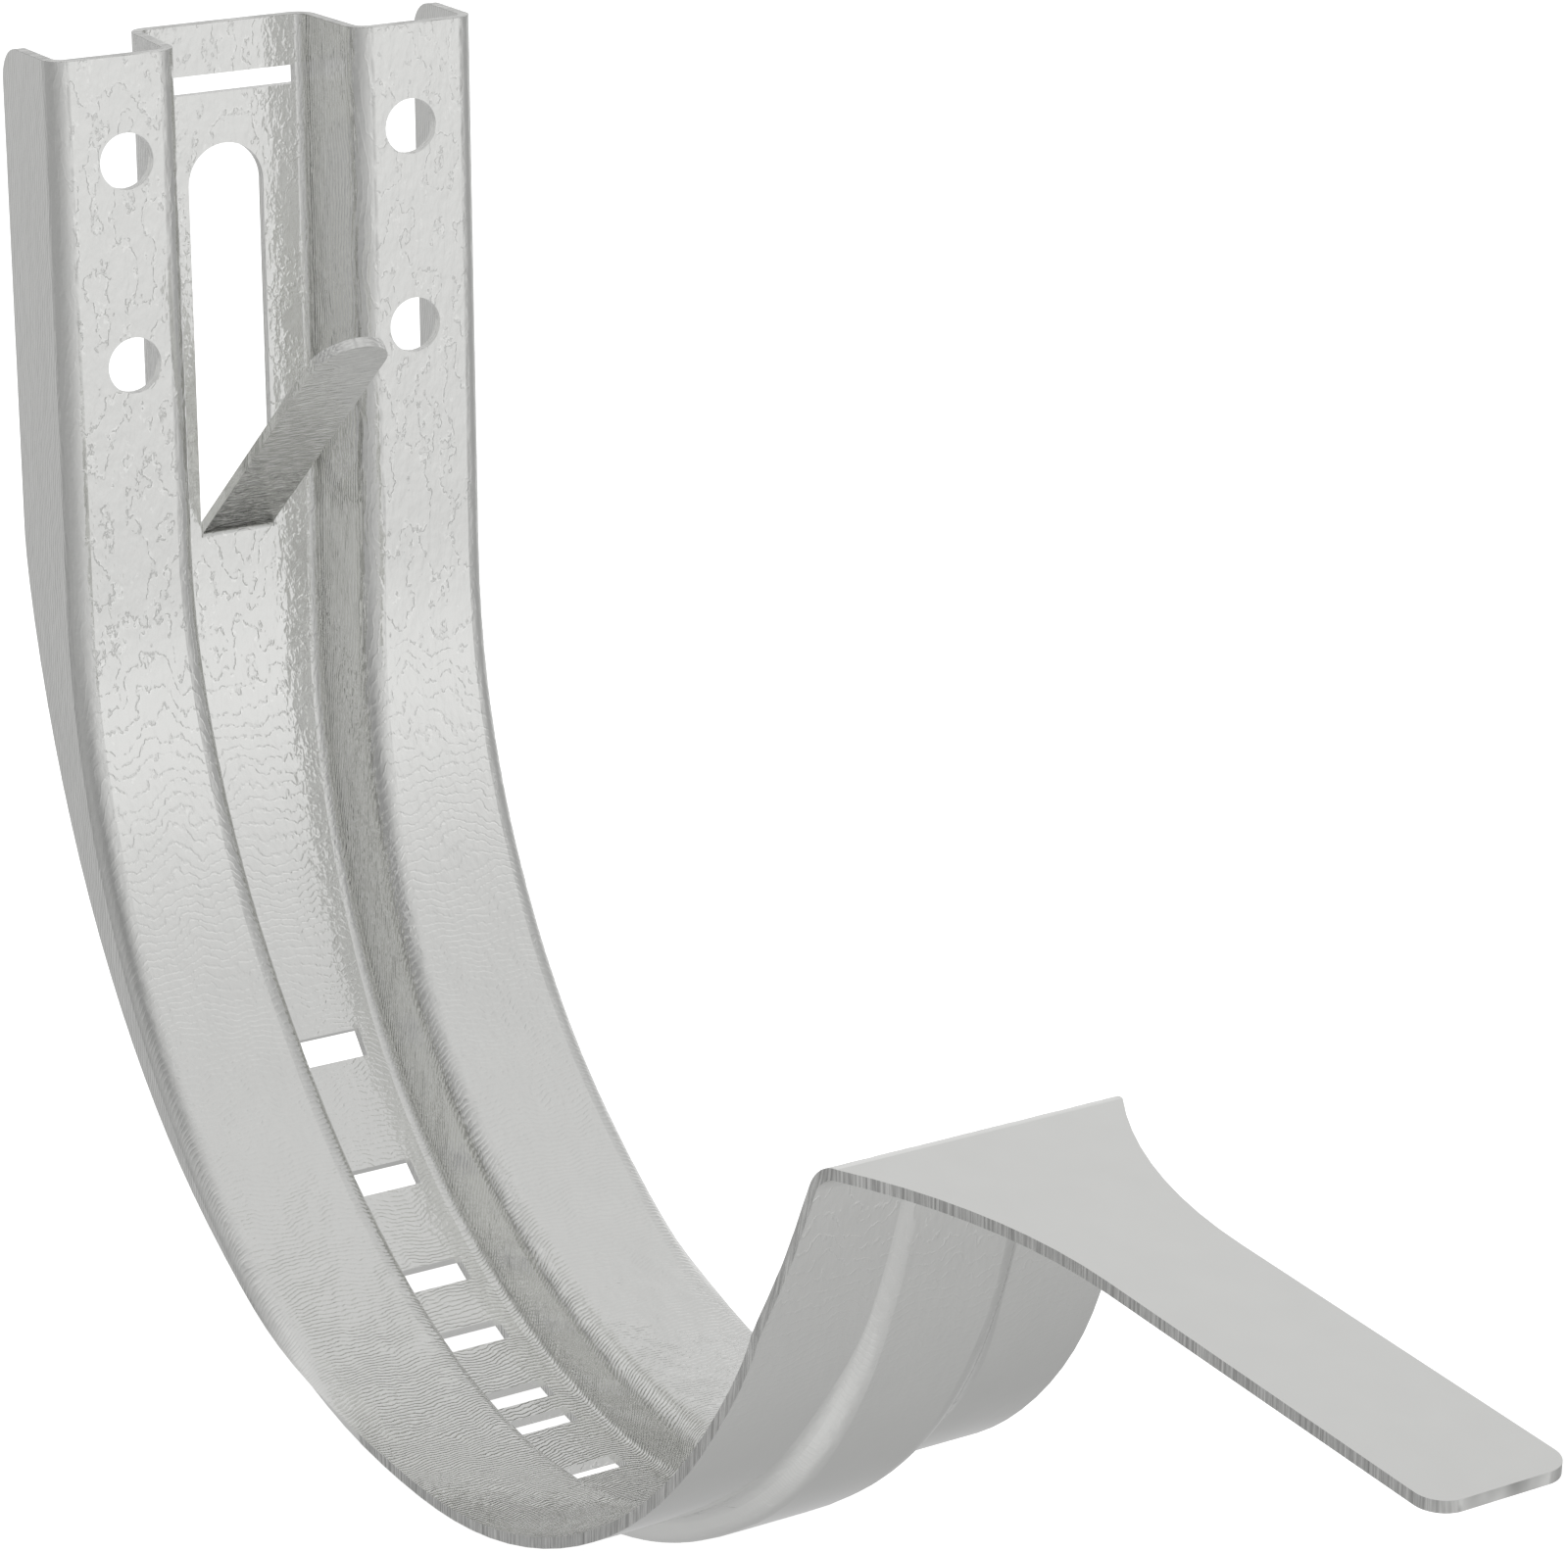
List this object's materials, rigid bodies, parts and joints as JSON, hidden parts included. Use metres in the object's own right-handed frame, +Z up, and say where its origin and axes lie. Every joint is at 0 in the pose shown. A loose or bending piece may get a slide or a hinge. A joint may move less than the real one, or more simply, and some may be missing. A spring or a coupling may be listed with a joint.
{
  "type": "gutter bracket",
  "caption": "J-shaped steel gutter bracket with a channelled upright, screw holes, a lanced retaining tongue, a slotted half-round cradle and a long front strap.",
  "frame": {"origin": "middle of the four screw holes, on the gutter-side face of the upright's two lands", "axes": "+Z up along the upright, +Y into the wall (the wall plane is y = +11.0 mm), -Y out over the gutter, X along the gutter"},
  "size_m": [0.0442, 0.1976, 0.1243],
  "materials": {
    "galvanised_steel": "satin light grey zinc coating with a fine vein and ripple texture"
  },
  "bodies": {
    "root": {"gutter_bracket": "galvanised_steel"}
  },
  "joints": []
}
